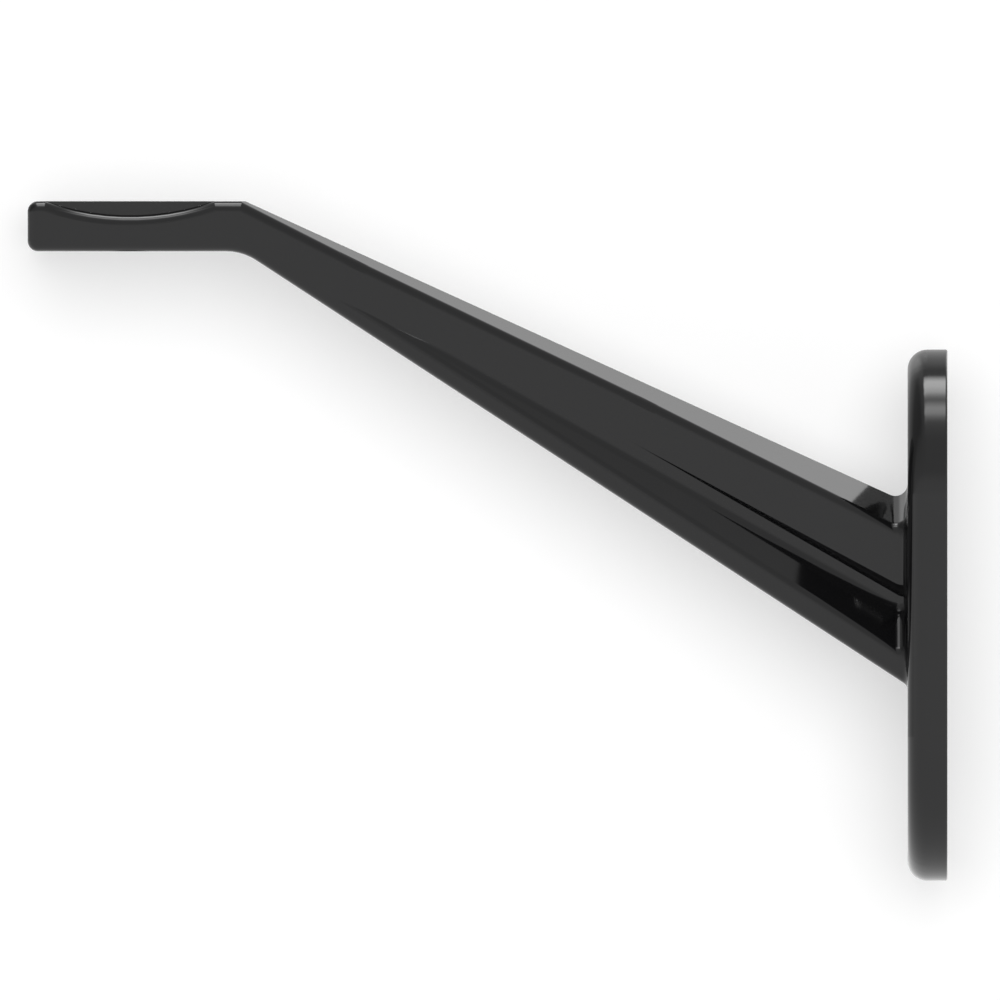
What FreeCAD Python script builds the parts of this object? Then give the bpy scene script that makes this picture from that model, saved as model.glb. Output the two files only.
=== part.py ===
import FreeCAD, Part
import math
import os

# Handrail wall bracket: a one-piece casting (wall plate, sloping arm and rail saddle)
# with a loose insert that lies in the saddle's hollow and turns it into a flat seat.
#
# Frame: origin at the middle of the wall plate's back face. X points into the wall,
# so the arm reaches out towards -X; Z is up; Y is across the bracket.

Vec = FreeCAD.Vector

# ---- driving dimensions, millimetres and degrees --------------------------------------

rail_offset = 80.0         # wall face to the rail's centre line
rim_outer = 1.742          # flat rim between the hollow and the saddle's free end
rim_inner = 3.042          # flat rim between the hollow and the bend into the arm
bend_lag = 0.3             # how much further out the bend lies on the underside
rail_radius = 25.4         # round rail that the hollow fits
rail_seat_depth = 1.38     # depth of the hollow below the saddle's top

saddle_top = 40.5          # saddle's top above the middle of the wall plate
saddle_thickness = 4.9
arm_width = 20.0           # saddle and arm, across Y

bend_bottom_radius = 5.4
root_top = 11.0            # arm's top where it meets the plate, above the plate's middle
root_bottom = -6.9         # arm's underside there

facet_drop_bend = 0.5      # how far the roof facets fall below the arm's top, at the bend
facet_drop_root = 2.95     # the same beside the web, where the arm meets the plate
ridge_width = 0.8          # flat that is left between the two facets at the plate

edge_radius = 1.0          # long outer edges of the saddle and arm
root_radius = 1.2          # fillet between arm and wall plate, on top and beside the web
flange_root_radius = 0.9   # the same round the shoulder and the flange

relief_start = 10.24       # bend to the point where each side starts to fall back
relief_root_depth = 3.6    # how far the web has fallen back at the plate
bend_run = 1.5             # length over which the web's slight bends are rounded, each way
flange_tip_height = 1.86   # full-width lower flange, above the underside, at the tip
flange_root_height = 2.7   # the same at the plate
shoulder_tilt = 45.0       # slope of the shoulder from the flange up to the web
shoulder_radius = 1.0      # rounding of the shoulder's outer edge
web_corner_radius = 1.2    # hollow rounding between shoulder and web

band_start_offset = 30.18  # wall face to where the web's thicker upper band begins
band_root_depth = 2.28     # how far that band has fallen back at the plate
band_start_height = 4.0    # underside of the band above the flange's edge, where it begins
band_root_height = 6.7     # the same at the plate
band_step_height = 1.08    # height of the sloping step under the band, at the plate

plate_height = 52.0
plate_width = 28.2
plate_thickness = 3.9
plate_edge_radius = 1.95   # front edge
plate_back_radius = 0.2    # back edge

wall_screw_spacing = 37.0
wall_screw_hole = 4.5
wall_screw_head = 8.4
rail_screw_spacing = 12.0
rail_screw_hole = 4.2
rail_screw_head = 7.2
countersink_angle = 90.0

insert_radius_ease = 0.05  # how much tighter the insert's curve is than the hollow's


# ---- small helpers --------------------------------------------------------------------

def extruded_polygon(points, direction):
    """A prism over a closed polygon."""
    wire = Part.makePolygon(list(points) + [points[0]])
    return Part.Face(wire).extrude(direction)


def bent_outline(points, bend, run):
    """A closed flat wire through points, with one corner turned into a tangent arc.

    The arc touches the two sides at the same distance, run, from the corner.
    """
    corner = points[bend]
    to_last = (points[bend - 1] - corner).normalize()
    to_next = (points[(bend + 1) % len(points)] - corner).normalize()
    half_angle = to_last.getAngle(to_next) / 2
    middle = (to_last + to_next).normalize()
    nearest = run / math.cos(half_angle) * (1 - math.sin(half_angle))
    first, last = corner + to_last * run, corner + to_next * run
    edges = [Part.Arc(first, corner + middle * nearest, last).toShape()]
    rest = [last] + points[bend + 1:] + points[:bend] + [first]
    pairs = [(a, b) for a, b in zip(rest, rest[1:]) if (b - a).Length > 1e-6]
    return Part.Wire(edges + [Part.makeLine(a, b) for a, b in pairs])


def along(edge, axis):
    """True for a straight edge that runs along one axis."""
    if not isinstance(edge.Curve, Part.Line):
        return False
    first, last = edge.Vertexes[0].Point, edge.Vertexes[-1].Point
    return abs((last - first).normalize().dot(axis)) > 0.9999


def on_plane(edge, axis, value, tolerance=1e-4):
    """True when the whole edge lies in the plane axis = value."""
    box = edge.BoundBox
    low = (box.XMin, box.YMin, box.ZMin)[axis]
    high = (box.XMax, box.YMax, box.ZMax)[axis]
    return abs(low - value) < tolerance and abs(high - value) < tolerance


def drilled_hole(mouth, inward, hole, head, depth):
    """A through hole with a countersink whose wide end is at its mouth."""
    sink = (head - hole) / 2 / math.tan(math.radians(countersink_angle / 2))
    shaft = Part.makeCylinder(hole / 2, depth, mouth, inward)
    cone = Part.makeCone(head / 2, hole / 2, sink, mouth, inward)
    lead = Part.makeCylinder(head / 2, depth, mouth, inward * -1)
    return shaft.fuse([cone, lead])


# ---- lines that several features share --------------------------------------------------

seat_half_chord = math.sqrt(rail_radius ** 2 - (rail_radius - rail_seat_depth) ** 2)
projection = rail_offset + seat_half_chord + rim_outer
bend_top_offset = rail_offset - seat_half_chord - rim_inner
bend_bottom_offset = bend_top_offset + bend_lag
half_width = arm_width / 2
saddle_bottom = saddle_top - saddle_thickness
plate_face = -plate_thickness
root_inside = -plate_thickness / 2      # the arm's prism ends inside the plate

top_slope = (root_top - saddle_top) / (plate_face + bend_top_offset)
under_slope = (root_bottom - saddle_bottom) / (plate_face + bend_bottom_offset)


def arm_top_at(x):
    return saddle_top + top_slope * (x + bend_top_offset)


def arm_under_at(x):
    return saddle_bottom + under_slope * (x + bend_bottom_offset)


relief_tip_x = relief_start - bend_top_offset
band_start_x = -band_start_offset
relief_slope = relief_root_depth / (plate_face - relief_tip_x)
band_start_depth = relief_slope * (band_start_x - relief_tip_x)
band_slope = (band_root_depth - band_start_depth) / (plate_face - band_start_x)
flange_tip = arm_under_at(relief_tip_x) + flange_tip_height
flange_root = arm_under_at(plate_face) + flange_root_height
flange_slope = (flange_root - flange_tip) / (plate_face - relief_tip_x)


def web_depth_at(x):
    """How far the web lies inside the flange's side face."""
    return relief_slope * (x - relief_tip_x)


def band_depth_at(x):
    """The same for the web's thicker upper band."""
    return band_start_depth + band_slope * (x - band_start_x)


def flange_top_at(x):
    return flange_tip + flange_slope * (x - relief_tip_x)


# ---- the casting ------------------------------------------------------------------------

def saddle_and_arm_prism():
    """Side profile of saddle and arm, carried across the width, with the bend rounded."""
    seat_centre_x = -rail_offset
    seat_bottom = Vec(seat_centre_x, -half_width, saddle_top - rail_seat_depth)
    free_end_top = Vec(-projection, -half_width, saddle_top)
    seat_outer = Vec(seat_centre_x - seat_half_chord, -half_width, saddle_top)
    seat_inner = Vec(seat_centre_x + seat_half_chord, -half_width, saddle_top)
    bend_top = Vec(-bend_top_offset, -half_width, saddle_top)
    root_high = Vec(root_inside, -half_width, arm_top_at(root_inside))
    root_low = Vec(root_inside, -half_width, arm_under_at(root_inside))
    bend_bottom = Vec(-bend_bottom_offset, -half_width, saddle_bottom)
    free_end_bottom = Vec(-projection, -half_width, saddle_bottom)

    seat = Part.Arc(seat_outer, seat_bottom, seat_inner).toShape()
    rest = [seat_inner, bend_top, root_high, root_low, bend_bottom, free_end_bottom,
            free_end_top, seat_outer]
    edges = [seat] + [Part.makeLine(a, b) for a, b in zip(rest, rest[1:])]
    prism = Part.Face(Part.Wire(edges)).extrude(Vec(0, arm_width, 0))
    bend = [e for e in prism.Edges if along(e, Vec(0, 1, 0))
            and (e.CenterOfMass - Vec(bend_bottom.x, 0, bend_bottom.z)).Length < 1e-3]
    return prism.makeFillet(bend_bottom_radius, bend)


def facet_cutter(side):
    """Everything above one roof facet of the arm: a plane through three points."""
    bend_x = -bend_top_offset
    at_bend = Vec(bend_x, side * half_width, saddle_top - facet_drop_bend)
    at_root = Vec(plate_face, side * (half_width - band_root_depth), root_top - facet_drop_root)
    at_ridge = Vec(plate_face, side * ridge_width / 2, root_top)
    normal = (at_root - at_bend).cross(at_ridge - at_bend)
    if normal.z < 0:
        normal = normal * -1
    reach = 2 * projection
    along_arm = (at_root - at_bend).normalize()
    across = normal.cross(along_arm).normalize()
    corners = [at_bend + along_arm * a * reach + across * b * reach
               for a, b in ((-1, -1), (1, -1), (1, 1), (-1, 1))]
    return extruded_polygon(corners, normal.normalize() * reach)


def across_share(face):
    """How squarely a face looks across the bracket: 1 for a side, 0 for top and end."""
    u0, u1, v0, v1 = face.ParameterRange
    return abs(face.normalAt((u0 + u1) / 2, (v0 + v1) / 2).y)


def outer_edges(arm):
    """Edges between the flat sides and the faces above, below and at the free end.

    The two edges across the free end belong to them too; those inside the plate don't.
    """
    chosen = []
    for edge in arm.Edges:
        shares = sorted(across_share(f) for f in arm.ancestorsOfType(edge, Part.Face))
        beside_side = shares[0] < 0.5 and shares[-1] > 0.99
        if on_plane(edge, 0, root_inside):
            continue
        if beside_side or on_plane(edge, 0, -projection):
            chosen.append(edge)
    return chosen


def flange_block(side):
    """Everything below one shoulder: a long bar along the flange's upper edge.

    Its section is square to that edge. The shoulder climbs inwards from the side face
    and its outer corner is rounded.
    """
    along_edge = Vec(1, 0, flange_slope).normalize()
    up = Vec(-along_edge.z, 0, along_edge.x)
    outward = Vec(0, side, 0)
    reach = projection
    climb = math.tan(math.radians(shoulder_tilt))
    corner = Vec(relief_tip_x, side * half_width, flange_tip) - along_edge * reach / 2
    section = [corner - up * reach,
               corner,
               corner + (up * climb - outward) * half_width,
               corner - outward * half_width - up * reach]
    block = extruded_polygon(section, along_edge * 2 * reach)
    rounded = [e for e in block.Edges
               if e.distToShape(Part.Vertex(corner))[0] < 1e-6
               and abs(e.Length - 2 * reach) < 1e-6]
    return block.makeFillet(shoulder_radius, rounded)


def inner_corner_at(side, x):
    """Where web and shoulder planes meet, before that corner is rounded."""
    depth = web_depth_at(x)
    climb = math.tan(math.radians(shoulder_tilt)) * math.hypot(1, flange_slope)
    return Vec(x, side * (half_width - depth), flange_top_at(x) + climb * depth)


def inner_corner_strip(side):
    """Fills the corner between web and shoulder with a hollow rounding.

    It grows from nothing where the shoulder leaves the rounding at its outer edge, and
    keeps its full radius from where the shoulder has room for both roundings.
    """
    root = inner_corner_at(side, root_inside)
    direction = (root - inner_corner_at(side, relief_tip_x)).normalize()
    web_normal = Vec(relief_slope, side, 0).normalize()
    along_flange = Vec(1, 0, flange_slope).normalize()
    tilt = math.radians(shoulder_tilt)
    flange_up = Vec(-along_flange.z, 0, along_flange.x)
    shoulder_normal = flange_up * math.cos(tilt) + Vec(0, side * math.sin(tilt), 0)
    up_web = web_normal.cross(direction).normalize()
    up_web = up_web * (1 if up_web.z > 0 else -1)
    down_shoulder = shoulder_normal.cross(direction).normalize()
    down_shoulder = down_shoulder * (1 if down_shoulder.z < 0 else -1)
    bisector = (up_web + down_shoulder).normalize()
    half_angle = up_web.getAngle(down_shoulder) / 2
    tangent = web_corner_radius / math.tan(half_angle)
    nearest = web_corner_radius / math.sin(half_angle) - web_corner_radius

    run_per_width = math.sin(tilt) / relief_slope
    outer_rounding = shoulder_radius * math.tan(tilt / 2)
    start = inner_corner_at(side, relief_tip_x + outer_rounding * run_per_width)
    full = inner_corner_at(side, relief_tip_x + (outer_rounding + tangent) * run_per_width)
    high = full + up_web * tangent
    low = full + down_shoulder * tangent
    buried = full - bisector * tangent
    section = Part.Wire([Part.Arc(high, full + bisector * nearest, low).toShape(),
                         Part.makeLine(low, buried),
                         Part.makeLine(buried, high)])
    strip = Part.Face(section).extrude(root - full)
    return Part.makeLoft([Part.Vertex(start), section], True, True).fuse(strip)


def upper_band(side):
    """What the web keeps above the sloping step, outside its general plane."""
    def plan(x, depth):
        return Vec(x, side * (half_width - depth), 0)

    inside = half_width
    base = saddle_bottom - 2 * saddle_top
    before = band_start_x - 2 * bend_run
    outline = [plan(before, web_depth_at(before)),
               plan(band_start_x, band_start_depth),
               plan(root_inside, band_depth_at(root_inside)),
               plan(root_inside, inside),
               plan(before, inside)]
    outline = [Vec(p.x, p.y, base) for p in outline]
    outline = bent_outline(outline, 1, bend_run)
    band = Part.Face(outline).extrude(Vec(0, 0, 4 * saddle_top))

    step_tip = plan(band_start_x, band_start_depth)
    step_tip.z = flange_top_at(band_start_x) + band_start_height
    step_high = plan(plate_face, band_root_depth)
    step_high.z = flange_root + band_root_height
    step_low = plan(plate_face, relief_root_depth)
    step_low.z = step_high.z - band_step_height
    along_step = (step_high - step_tip).normalize()
    normal = along_step.cross(step_low - step_tip).normalize()
    if normal.z > 0:
        normal = normal * -1
    across = normal.cross(along_step)
    reach = projection
    corners = [step_tip + along_step * a * reach + across * b * reach
               for a, b in ((-1, -1), (1, -1), (1, 1), (-1, 1))]
    return band.cut(extruded_polygon(corners, normal * reach))


def side_relief(side):
    """What is taken off one side of the arm: it falls back above the lower flange."""
    beyond = half_width
    base = saddle_bottom - 2 * saddle_top
    before = relief_tip_x - bend_run
    outline = [Vec(before, side * half_width, base),
               Vec(relief_tip_x, side * half_width, base),
               Vec(root_inside, side * (half_width - web_depth_at(root_inside)), base),
               Vec(root_inside, side * (half_width + beyond), base),
               Vec(before, side * (half_width + beyond), base)]
    outline = bent_outline(outline[1:] + outline[:1], 0, bend_run)
    slab = Part.Face(outline).extrude(Vec(0, 0, 4 * saddle_top))
    kept = [flange_block(side), inner_corner_strip(side), upper_band(side)]
    return slab.cut(kept)


def wall_plate():
    """Pill-shaped plate with a well rounded front edge."""
    radius = plate_width / 2
    straight = plate_height / 2 - radius
    left_low, left_high = Vec(0, -radius, -straight), Vec(0, -radius, straight)
    right_low, right_high = Vec(0, radius, -straight), Vec(0, radius, straight)
    outline = Part.Wire([
        Part.makeLine(left_low, left_high),
        Part.Arc(left_high, Vec(0, 0, plate_height / 2), right_high).toShape(),
        Part.makeLine(right_high, right_low),
        Part.Arc(right_low, Vec(0, 0, -plate_height / 2), left_low).toShape()])
    plate = Part.Face(outline).extrude(Vec(-plate_thickness, 0, 0))
    front = [e for e in plate.Edges if on_plane(e, 0, plate_face)]
    plate = plate.makeFillet(plate_edge_radius, front)
    back = [e for e in plate.Edges if on_plane(e, 0, 0)]
    return plate.makeFillet(plate_back_radius, back)


def root_edges(body, above):
    """Where the arm's skin meets the plate's front face, above or below the web's step."""
    step_z = flange_root + band_root_height
    return [e for e in body.Edges if on_plane(e, 0, plate_face)
            and abs(e.CenterOfMass.y) < half_width + edge_radius
            and (e.CenterOfMass.z > step_z) == above
            and arm_under_at(plate_face) - edge_radius < e.CenterOfMass.z
            and e.CenterOfMass.z < arm_top_at(plate_face) + edge_radius]


def rail_hole_centres():
    return [Vec(-rail_offset, side * rail_screw_spacing / 2, 0) for side in (-1, 1)]


def bracket_body():
    arm = saddle_and_arm_prism()
    arm = arm.cut([facet_cutter(side) for side in (-1, 1)])
    arm = arm.cut([side_relief(side) for side in (-1, 1)])
    arm = arm.makeFillet(edge_radius, outer_edges(arm))
    body = wall_plate().fuse(arm).removeSplitter()
    body = body.makeFillet(root_radius, root_edges(body, above=True))
    snug = min(flange_root_radius, 0.75 * web_corner_radius)
    body = body.makeFillet(snug, root_edges(body, above=False))
    holes = []
    for side in (-1, 1):
        mouth = Vec(plate_face, 0, side * wall_screw_spacing / 2)
        holes.append(drilled_hole(mouth, Vec(1, 0, 0), wall_screw_hole, wall_screw_head,
                                  2 * plate_thickness))
    for centre in rail_hole_centres():
        mouth = Vec(centre.x, centre.y, saddle_bottom)
        holes.append(drilled_hole(mouth, Vec(0, 0, 1), rail_screw_hole, rail_screw_head,
                                  2 * saddle_thickness))
    return body.cut(holes)


# ---- the insert -------------------------------------------------------------------------

def saddle_insert():
    """Flat-topped segment that rests on the bottom of the hollow, flush with the saddle."""
    radius = rail_radius - insert_radius_ease
    half_chord = math.sqrt(radius ** 2 - (radius - rail_seat_depth) ** 2)
    half_length = half_width - edge_radius
    start = Vec(-rail_offset - half_chord, -half_length, saddle_top)
    lowest = Vec(-rail_offset, -half_length, saddle_top - rail_seat_depth)
    end = Vec(-rail_offset + half_chord, -half_length, saddle_top)
    outline = Part.Wire([Part.Arc(start, lowest, end).toShape(), Part.makeLine(end, start)])
    insert = Part.Face(outline).extrude(Vec(0, 2 * half_length, 0))
    holes = [Part.makeCylinder(rail_screw_hole / 2, saddle_thickness * 2,
                               Vec(c.x, c.y, saddle_top - saddle_thickness))
             for c in rail_hole_centres()]
    return insert.cut(holes)


# ---- write one file for each piece --------------------------------------------------------

os.makedirs("parts", exist_ok=True)
pieces = {"bracket_body": bracket_body(), "saddle_insert": saddle_insert()}
for name, shape in pieces.items():
    shape.exportStep("parts/" + name + ".step")
    box = shape.BoundBox
    print(name, "solids", len(shape.Solids), "valid", shape.isValid(),
          "volume", round(shape.Volume, 2), "faces", len(shape.Faces))
    print("  box", [round(v, 3) for v in (box.XMin, box.YMin, box.ZMin,
                                          box.XMax, box.YMax, box.ZMax)])
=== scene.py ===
import math

import bpy
import numpy as np
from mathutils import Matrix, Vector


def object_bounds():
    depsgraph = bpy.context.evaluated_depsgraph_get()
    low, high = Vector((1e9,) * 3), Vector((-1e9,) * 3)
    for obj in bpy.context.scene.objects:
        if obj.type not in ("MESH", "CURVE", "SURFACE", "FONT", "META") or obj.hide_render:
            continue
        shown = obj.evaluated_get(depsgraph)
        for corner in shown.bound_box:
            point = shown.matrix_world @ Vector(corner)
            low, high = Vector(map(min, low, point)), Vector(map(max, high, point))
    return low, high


bl_info = {
    "name": "Handrail bracket",
    "version": (1, 0, 0),
    "blender": (4, 5, 0),
    "location": "3D View > Sidebar > Bracket",
    "description": "Finishes a cast handrail bracket and sets it on a pale studio sweep",
    "category": "Object",
}

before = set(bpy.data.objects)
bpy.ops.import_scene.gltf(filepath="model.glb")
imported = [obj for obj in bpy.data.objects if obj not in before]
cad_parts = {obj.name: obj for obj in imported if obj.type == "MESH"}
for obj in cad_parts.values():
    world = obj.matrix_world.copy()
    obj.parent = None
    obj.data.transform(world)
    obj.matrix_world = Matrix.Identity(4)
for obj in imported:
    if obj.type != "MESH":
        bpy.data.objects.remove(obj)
CAD_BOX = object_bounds()

CASTING = "bracket_body"
INSERT = "saddle_insert"


# ---- sizes and colours a user may change ------------------------------------------------

class CoatingSettings(bpy.types.PropertyGroup):
    """Gloss black coating of the casting."""

    color: bpy.props.FloatVectorProperty(
        name="Coating colour", description="Body colour under the gloss",
        subtype="COLOR", size=3, min=0.0, max=1.0, default=(0.0022, 0.0022, 0.0024))
    roughness: bpy.props.FloatProperty(
        name="Coating roughness", description="Blur of what the coating mirrors",
        subtype="FACTOR", min=0.0, max=1.0, default=0.09)
    roughness_spread: bpy.props.FloatProperty(
        name="Roughness spread", description="How much the roughness drifts over the casting",
        subtype="FACTOR", min=0.0, max=0.2, default=0.02)
    ripple_size: bpy.props.FloatProperty(
        name="Ripple size", description="Width of the coating's faint ripples",
        subtype="DISTANCE", unit="LENGTH", min=0.0002, max=0.02, default=0.0024)
    ripple_height: bpy.props.FloatProperty(
        name="Ripple height", description="Height of the coating's faint ripples",
        subtype="DISTANCE", unit="LENGTH", min=0.0, max=0.0005, default=0.0000012)


class InsertSettings(bpy.types.PropertyGroup):
    """Moulded black of the loose insert."""

    color: bpy.props.FloatVectorProperty(
        name="Insert colour", description="Body colour of the moulding",
        subtype="COLOR", size=3, min=0.0, max=1.0, default=(0.003, 0.003, 0.0031))
    roughness: bpy.props.FloatProperty(
        name="Insert roughness", description="Blur of what the moulding mirrors",
        subtype="FACTOR", min=0.0, max=1.0, default=0.2)
    roughness_spread: bpy.props.FloatProperty(
        name="Roughness spread", description="How much the roughness drifts over the moulding",
        subtype="FACTOR", min=0.0, max=0.2, default=0.025)
    grain_size: bpy.props.FloatProperty(
        name="Grain size", description="Width of the moulding's fine grain",
        subtype="DISTANCE", unit="LENGTH", min=0.00005, max=0.005, default=0.0004)
    grain_height: bpy.props.FloatProperty(
        name="Grain height", description="Height of the moulding's fine grain",
        subtype="DISTANCE", unit="LENGTH", min=0.0, max=0.0005, default=0.0000006)


class StageSettings(bpy.types.PropertyGroup):
    """Sweep, light and camera."""

    sweep_color: bpy.props.FloatVectorProperty(
        name="Sweep colour", description="Colour of the floor and backdrop",
        subtype="COLOR", size=3, min=0.0, max=1.0, default=(1.0, 1.0, 1.0))
    lit_share: bpy.props.FloatProperty(
        name="Lit share", description="How much of the sweep's brightness the shadow can take",
        subtype="FACTOR", min=0.0, max=1.0, default=0.53)
    floor_lift: bpy.props.FloatProperty(
        name="Floor lift", description="Extra glow of the floor, which the front light grazes",
        subtype="FACTOR", min=0.0, max=1.0, default=0.3)
    backdrop_gap: bpy.props.FloatProperty(
        name="Backdrop gap", description="Room between the bracket's far side and the backdrop",
        subtype="DISTANCE", unit="LENGTH", min=0.0, default=0.0004)
    floor_drop: bpy.props.FloatProperty(
        name="Floor drop", description="Height of the bracket's lowest point over the floor",
        subtype="DISTANCE", unit="LENGTH", min=0.0, default=0.08)
    sweep_radius: bpy.props.FloatProperty(
        name="Sweep radius", description="Radius of the bend between floor and backdrop",
        subtype="DISTANCE", unit="LENGTH", min=0.001, default=0.06)
    sweep_reach: bpy.props.FloatProperty(
        name="Sweep reach", description="How far floor and backdrop run out from the bracket",
        subtype="DISTANCE", unit="LENGTH", min=0.1, default=1.0)
    key_share: bpy.props.FloatProperty(
        name="Key share", description="Share of the sweep's light that the front light gives",
        subtype="FACTOR", min=0.0, max=1.0, default=0.76)
    fill_level: bpy.props.FloatProperty(
        name="Fill level", description="Even light on the sweep from all around",
        min=0.0, max=2.0, default=0.26)
    key_height: bpy.props.FloatProperty(
        name="Key height", description="Angle of the front light above the level",
        subtype="ANGLE", min=0.0, max=math.pi / 2, default=math.radians(7.0))
    key_spread: bpy.props.FloatProperty(
        name="Key spread", description="Angular size of the front light",
        subtype="ANGLE", min=0.0, max=math.pi, default=math.radians(38.0))
    view_width: bpy.props.FloatProperty(
        name="View width", description="Width of what the camera takes in",
        subtype="DISTANCE", unit="LENGTH", min=0.01, default=0.09785)
    view_shift_x: bpy.props.FloatProperty(
        name="View shift across", description="Camera's aim, from the middle of the bracket",
        subtype="DISTANCE", unit="LENGTH", default=0.00122)
    view_shift_z: bpy.props.FloatProperty(
        name="View shift up", description="Camera's aim, from the middle of the bracket",
        subtype="DISTANCE", unit="LENGTH", default=0.00401)
    view_distance: bpy.props.FloatProperty(
        name="View distance", description="Camera to the middle of the bracket",
        subtype="DISTANCE", unit="LENGTH", min=0.05, default=0.4)


# ---- shader helpers ---------------------------------------------------------------------

def new_material(name):
    """An empty node material with its output; returns material, nodes, links and output."""
    material = bpy.data.materials.new(name)
    material.use_nodes = True
    tree = material.node_tree
    tree.nodes.clear()
    output = tree.nodes.new("ShaderNodeOutputMaterial")
    return material, tree.nodes, tree.links, output


def noise(nodes, links, vector, width):
    """Noise whose blotches are about width metres across."""
    node = nodes.new("ShaderNodeTexNoise")
    node.inputs["Scale"].default_value = 1.0 / width
    node.inputs["Detail"].default_value = 2.0
    links.new(vector, node.inputs["Vector"])
    return node.outputs["Fac"]


def calculate(nodes, links, operation, first, second):
    """One Math node; each operand is a socket or a number."""
    node = nodes.new("ShaderNodeMath")
    node.operation = operation
    for socket, operand in zip(node.inputs, (first, second)):
        if isinstance(operand, (int, float)):
            socket.default_value = operand
        else:
            links.new(operand, socket)
    return node.outputs[0]


def remap(nodes, links, value, from_range, to_range, smooth=False):
    """Map Range between two number pairs, clamped."""
    node = nodes.new("ShaderNodeMapRange")
    node.interpolation_type = "SMOOTHSTEP" if smooth else "LINEAR"
    links.new(value, node.inputs["Value"])
    node.inputs["From Min"].default_value, node.inputs["From Max"].default_value = from_range
    node.inputs["To Min"].default_value, node.inputs["To Max"].default_value = to_range
    return node.outputs["Result"]


SHADE_SPREAD = 0.2          # how far the body colour drifts either way, as a share
DRIFT_WIDTH = 12            # width of the slow drift, in ripples
DRIFT_RANGE = (0.3, 0.7)    # the part of the noise's range that it mostly keeps to


def gloss_black(name, color, roughness, spread, ripple_size, ripple_height):
    """Black gloss: dark body, clear mirror, slow drift in roughness and faint ripples."""
    material, nodes, links, output = new_material(name)
    shader = nodes.new("ShaderNodeBsdfPrincipled")
    place = nodes.new("ShaderNodeTexCoord").outputs["Object"]
    shader.inputs["IOR"].default_value = 1.5

    drift = noise(nodes, links, place, DRIFT_WIDTH * ripple_size)
    shade = nodes.new("ShaderNodeMix")
    shade.data_type = "RGBA"
    links.new(drift, shade.inputs["Factor"])
    for end, share in (("A", 1 - SHADE_SPREAD), ("B", 1 + SHADE_SPREAD)):
        shade.inputs[end].default_value = (*(share * c for c in color), 1.0)
    links.new(shade.outputs["Result"], shader.inputs["Base Color"])

    blur = remap(nodes, links, drift, DRIFT_RANGE, (roughness - spread, roughness + spread))
    links.new(blur, shader.inputs["Roughness"])

    bump = nodes.new("ShaderNodeBump")
    bump.inputs["Strength"].default_value = 1.0
    bump.inputs["Distance"].default_value = ripple_height
    links.new(noise(nodes, links, place, ripple_size), bump.inputs["Height"])
    links.new(bump.outputs["Normal"], shader.inputs["Normal"])
    links.new(shader.outputs["BSDF"], output.inputs["Surface"])
    return material


def dress(node_name, material):
    """Gives every material slot of a CAD node one material."""
    for slot in bpy.data.objects[node_name].material_slots:
        slot.material = material


# ---- stage ------------------------------------------------------------------------------

def sweep_grid(front_y, back_y, floor_z, top_z, radius, half_width, bend_steps=24):
    """A floor that turns up into a backdrop, as one grid of quads.

    The profile runs along the floor from front_y, round a quarter circle of the given
    radius, and up the backdrop at back_y to top_z; it is carried along X from -half_width
    to +half_width. A short flat run at each end of the bend keeps the shading even there.
    """
    turn = np.linspace(0.0, math.pi / 2, bend_steps)
    bend_y = back_y - radius + radius * np.sin(turn)
    bend_z = floor_z + radius - radius * np.cos(turn)
    flat = radius / 20
    profile_y = np.concatenate(([front_y, bend_y[0] - flat], bend_y, [back_y, back_y]))
    profile_z = np.concatenate(([floor_z, floor_z], bend_z, [bend_z[-1] + flat, top_z]))
    sides = np.array([-half_width, half_width])
    rows = len(profile_y)
    points = np.empty((rows, 2, 3))
    points[..., 0] = sides
    points[..., 1] = profile_y[:, None]
    points[..., 2] = profile_z[:, None]
    low = 2 * np.arange(rows - 1)
    faces = np.stack([low, low + 1, low + 3, low + 2], axis=1)
    mesh = bpy.data.meshes.new("sweep")
    mesh.from_pydata(points.reshape(-1, 3).tolist(), [], faces.tolist())
    mesh.shade_smooth()
    return mesh


def sweep_material(color, lit_share, floor_lift):
    """Matt and pale from in front, and not there from behind or in the bracket's gloss.

    Only lit_share of its brightness comes from the light, so the shadow on it stays pale.
    The rest is its own glow, which grows by floor_lift where it turns level.
    """
    material, nodes, links, output = new_material("pale_sweep")
    matt = nodes.new("ShaderNodeBsdfDiffuse")
    matt.inputs["Color"].default_value = (*(lit_share * c for c in color), 1.0)
    glow = nodes.new("ShaderNodeEmission")
    glow.inputs["Color"].default_value = (*color, 1.0)
    geometry = nodes.new("ShaderNodeNewGeometry").outputs
    normal = nodes.new("ShaderNodeSeparateXYZ")
    links.new(geometry["Normal"], normal.inputs[0])
    links.new(remap(nodes, links, normal.outputs["Z"], (0.0, 1.0),
                    (1.0 - lit_share, 1.0 - lit_share + floor_lift)), glow.inputs["Strength"])
    pale = nodes.new("ShaderNodeAddShader")
    links.new(matt.outputs[0], pale.inputs[0])
    links.new(glow.outputs[0], pale.inputs[1])
    clear = nodes.new("ShaderNodeBsdfTransparent")
    rays = nodes.new("ShaderNodeLightPath").outputs
    hidden = geometry["Backfacing"]
    for ray in ("Is Glossy Ray", "Is Diffuse Ray", "Is Shadow Ray"):
        hidden = calculate(nodes, links, "MAXIMUM", hidden, rays[ray])
    mix = nodes.new("ShaderNodeMixShader")
    links.new(hidden, mix.inputs[0])
    links.new(pale.outputs[0], mix.inputs[1])
    links.new(clear.outputs[0], mix.inputs[2])
    links.new(mix.outputs[0], output.inputs["Surface"])
    return material


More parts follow.
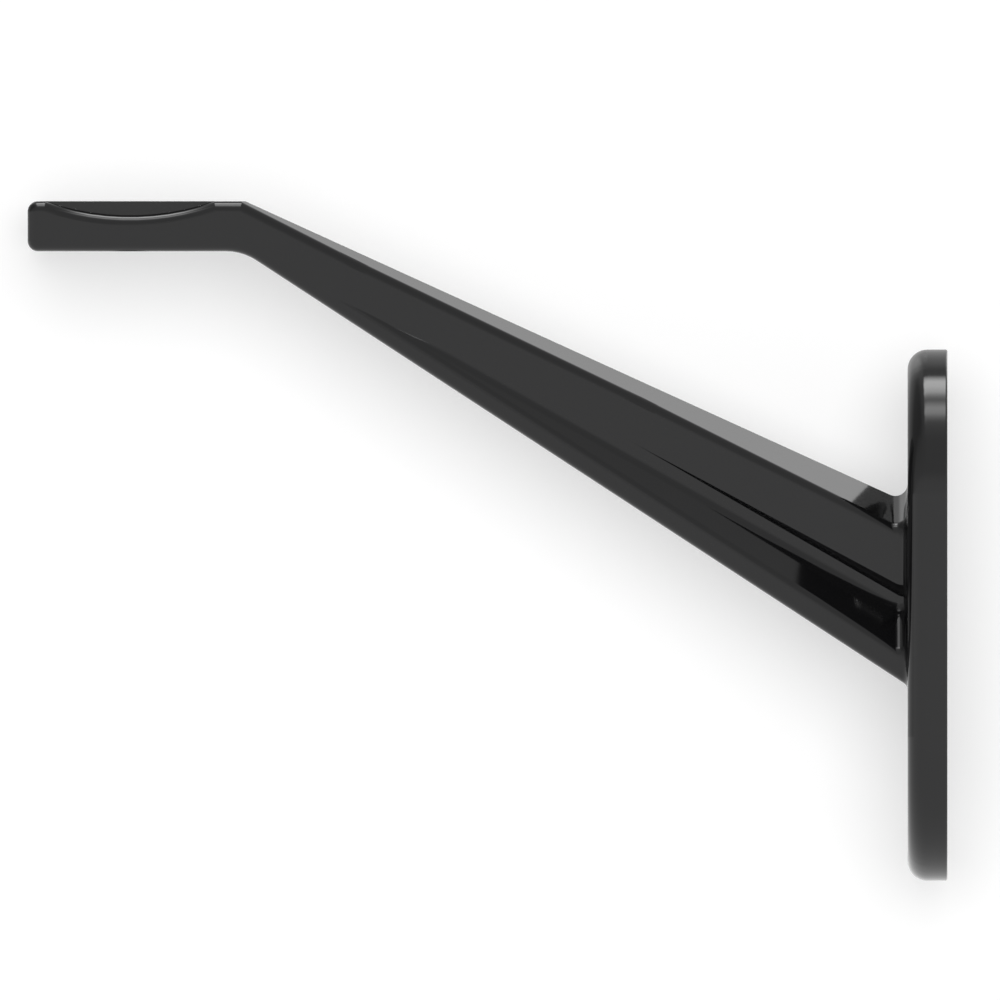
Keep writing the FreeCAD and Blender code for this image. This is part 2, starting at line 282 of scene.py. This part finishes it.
# Brightness of the studio against white, by the angle in degrees from straight in front
# (0) over the top (90) to straight behind (180); below the bracket it stays near white.
# All profiles start alike and differ overhead and behind.
FRONT_PROFILE = ((-180, 1.0), (-60, 0.95), (0, 0.96), (10, 0.86), (18, 0.66))
SOFTBOX_PROFILE = FRONT_PROFILE + (
    (45, 0.68), (54, 0.84), (60, 1.1), (64, 2.2), (68, 4.0), (73, 4.4), (77, 3.0),
    (81, 1.5), (85, 2.6), (90, 5.4), (96, 6.6), (102, 6.4), (106, 3.6), (110, 0.5),
    (118, 0.42), (128, 0.6), (148, 0.64), (180, 0.5))
RIGHT_PROFILE = FRONT_PROFILE + (
    (50, 0.6), (100, 0.56), (124, 0.6), (130, 1.4), (137, 1.52), (147, 1.52), (160, 1.1),
    (180, 1.0))
LEFT_PROFILE = FRONT_PROFILE + (
    (50, 0.6), (100, 0.56), (124, 0.6), (137, 0.95), (147, 0.95), (160, 0.7), (180, 0.5))
FAR_LEFT_PROFILE = FRONT_PROFILE + (
    (45, 0.55), (65, 0.32), (120, 0.3), (140, 0.45), (180, 0.5))
BRIGHTEST = 8.0     # a ramp holds levels up to 1, so every level is stored over this one

# From the far left to the right, the share of the direction that points along X over
# which each profile takes over from the one before.
BANDS = (((-0.6, -0.36), LEFT_PROFILE), ((-0.3, -0.16), SOFTBOX_PROFILE),
         ((0.14, 0.26), RIGHT_PROFILE))


def blend(nodes, links, first, second, share):
    """Colour mix of two sockets; share is how much of the second it takes."""
    node = nodes.new("ShaderNodeMix")
    node.data_type = "RGBA"
    links.new(share, node.inputs["Factor"])
    links.new(first, node.inputs["A"])
    links.new(second, node.inputs["B"])
    return node.outputs["Result"]


def profile_ramp(nodes, links, turn, profile):
    """Colour ramp over the full turn, holding a profile's brightness over BRIGHTEST."""
    ramp = nodes.new("ShaderNodeValToRGB")
    elements = ramp.color_ramp.elements
    while len(elements) < len(profile):
        elements.new(0.5)
    for element, (angle, level) in zip(elements, profile):
        element.position = (angle + 180) / 360
        element.color = (*(level / BRIGHTEST,) * 3, 1.0)
    links.new(turn, ramp.inputs["Fac"])
    return ramp.outputs["Color"]


def build_studio_world(fill_level):
    """Soft white room with a softbox overhead, plain white to the camera itself."""
    world = bpy.data.worlds.new("studio")
    bpy.context.scene.world = world
    world.use_nodes = True
    nodes, links = world.node_tree.nodes, world.node_tree.links
    nodes.clear()
    direction = nodes.new("ShaderNodeTexCoord").outputs["Generated"]
    parts = nodes.new("ShaderNodeSeparateXYZ")
    links.new(direction, parts.inputs[0])
    toward_front = calculate(nodes, links, "MULTIPLY", parts.outputs["Y"], -1.0)
    angle = calculate(nodes, links, "ARCTAN2", parts.outputs["Z"], toward_front)
    turn = remap(nodes, links, angle, (-math.pi, math.pi), (0.0, 1.0))
    around = profile_ramp(nodes, links, turn, FAR_LEFT_PROFILE)
    for fade, profile in BANDS:
        share = remap(nodes, links, parts.outputs["X"], fade, (0.0, 1.0), smooth=True)
        around = blend(nodes, links, around, profile_ramp(nodes, links, turn, profile), share)
    room = nodes.new("ShaderNodeBackground")
    links.new(around, room.inputs["Color"])
    room.inputs["Strength"].default_value = BRIGHTEST
    fill = nodes.new("ShaderNodeBackground")
    fill.inputs["Color"].default_value = (1.0, 1.0, 1.0, 1.0)
    fill.inputs["Strength"].default_value = fill_level
    lighting = nodes.new("ShaderNodeMixShader")
    rays = nodes.new("ShaderNodeLightPath").outputs
    links.new(rays["Is Diffuse Ray"], lighting.inputs[0])
    links.new(room.outputs[0], lighting.inputs[1])
    links.new(fill.outputs[0], lighting.inputs[2])
    white = nodes.new("ShaderNodeBackground")
    white.inputs["Color"].default_value = (1.0, 1.0, 1.0, 1.0)
    mix = nodes.new("ShaderNodeMixShader")
    links.new(rays["Is Camera Ray"], mix.inputs[0])
    links.new(lighting.outputs[0], mix.inputs[1])
    links.new(white.outputs[0], mix.inputs[2])
    output = nodes.new("ShaderNodeOutputWorld")
    links.new(mix.outputs[0], output.inputs["Surface"])


def build_key(settings):
    """Broad front light for the sweep; the gloss mirrors the room alone."""
    data = bpy.data.lights.new("front_key", "SUN")
    data.energy = math.pi * settings.key_share
    data.angle = settings.key_spread
    key = bpy.data.objects.new("front_key", data)
    key.rotation_euler = (math.pi / 2 - settings.key_height, 0.0, 0.0)
    key.visible_glossy = False
    bpy.context.scene.collection.objects.link(key)


def build_camera(settings):
    """Level camera straight in front, with no perspective."""
    low, high = np.array(CAD_BOX[0]), np.array(CAD_BOX[1])
    middle = (low + high) / 2
    data = bpy.data.cameras.new("front_camera")
    data.type = "ORTHO"
    data.ortho_scale = settings.view_width
    camera = bpy.data.objects.new("front_camera", data)
    camera.location = (middle[0] + settings.view_shift_x, middle[1] - settings.view_distance,
                       middle[2] + settings.view_shift_z)
    camera.rotation_euler = (math.pi / 2, 0.0, 0.0)
    bpy.context.scene.collection.objects.link(camera)
    bpy.context.scene.camera = camera


# ---- operators --------------------------------------------------------------------------

class BRACKET_OT_coat_casting(bpy.types.Operator):
    """Coat the one-piece casting in gloss black."""

    bl_idname = "bracket.coat_casting"
    bl_label = "Coat casting"

    def execute(self, context):
        s = context.scene.bracket_coating
        material = gloss_black("gloss_black_coating", s.color, s.roughness,
                               s.roughness_spread, s.ripple_size, s.ripple_height)
        dress(CASTING, material)
        return {"FINISHED"}


class BRACKET_OT_finish_insert(bpy.types.Operator):
    """Give the loose insert its moulded black."""

    bl_idname = "bracket.finish_insert"
    bl_label = "Finish insert"

    def execute(self, context):
        s = context.scene.bracket_insert
        material = gloss_black("moulded_black", s.color, s.roughness, s.roughness_spread,
                               s.grain_size, s.grain_height)
        dress(INSERT, material)
        return {"FINISHED"}


class BRACKET_OT_build_stage(bpy.types.Operator):
    """Set up the pale sweep, the soft light and the camera."""

    bl_idname = "bracket.build_stage"
    bl_label = "Build stage"

    def execute(self, context):
        s = context.scene.bracket_stage
        low, high = CAD_BOX
        mesh = sweep_grid(front_y=low[1] - s.sweep_reach, back_y=high[1] + s.backdrop_gap,
                          floor_z=low[2] - s.floor_drop, top_z=high[2] + s.sweep_reach,
                          radius=s.sweep_radius, half_width=s.sweep_reach)
        sweep = bpy.data.objects.new("sweep", mesh)
        context.scene.collection.objects.link(sweep)
        mesh.materials.append(sweep_material(s.sweep_color, s.lit_share, s.floor_lift))
        build_studio_world(s.fill_level)
        build_key(s)
        build_camera(s)
        context.scene.view_settings.view_transform = "Standard"
        return {"FINISHED"}


class BRACKET_PT_panel(bpy.types.Panel):
    """Steps and sizes of the bracket's finish."""

    bl_idname = "BRACKET_PT_panel"
    bl_label = "Handrail bracket"
    bl_space_type = "VIEW_3D"
    bl_region_type = "UI"
    bl_category = "Bracket"

    def draw(self, context):
        for operator, group in STEPS:
            box = self.layout.box()
            settings = getattr(context.scene, group)
            for name in settings.__annotations__:
                box.prop(settings, name)
            box.operator(operator.bl_idname)


GROUPS = {
    "bracket_coating": CoatingSettings,
    "bracket_insert": InsertSettings,
    "bracket_stage": StageSettings,
}
STEPS = (
    (BRACKET_OT_coat_casting, "bracket_coating"),
    (BRACKET_OT_finish_insert, "bracket_insert"),
    (BRACKET_OT_build_stage, "bracket_stage"),
)


def register():
    for name, group in GROUPS.items():
        bpy.utils.register_class(group)
        setattr(bpy.types.Scene, name, bpy.props.PointerProperty(type=group))
    for operator, _ in STEPS:
        bpy.utils.register_class(operator)
    bpy.utils.register_class(BRACKET_PT_panel)


def unregister():
    bpy.utils.unregister_class(BRACKET_PT_panel)
    for operator, _ in reversed(STEPS):
        bpy.utils.unregister_class(operator)
    for name, group in reversed(GROUPS.items()):
        delattr(bpy.types.Scene, name)
        bpy.utils.unregister_class(group)


def main():
    register()
    bpy.ops.bracket.coat_casting()
    bpy.ops.bracket.finish_insert()
    bpy.ops.bracket.build_stage()


if __name__ == "__main__":
    main()
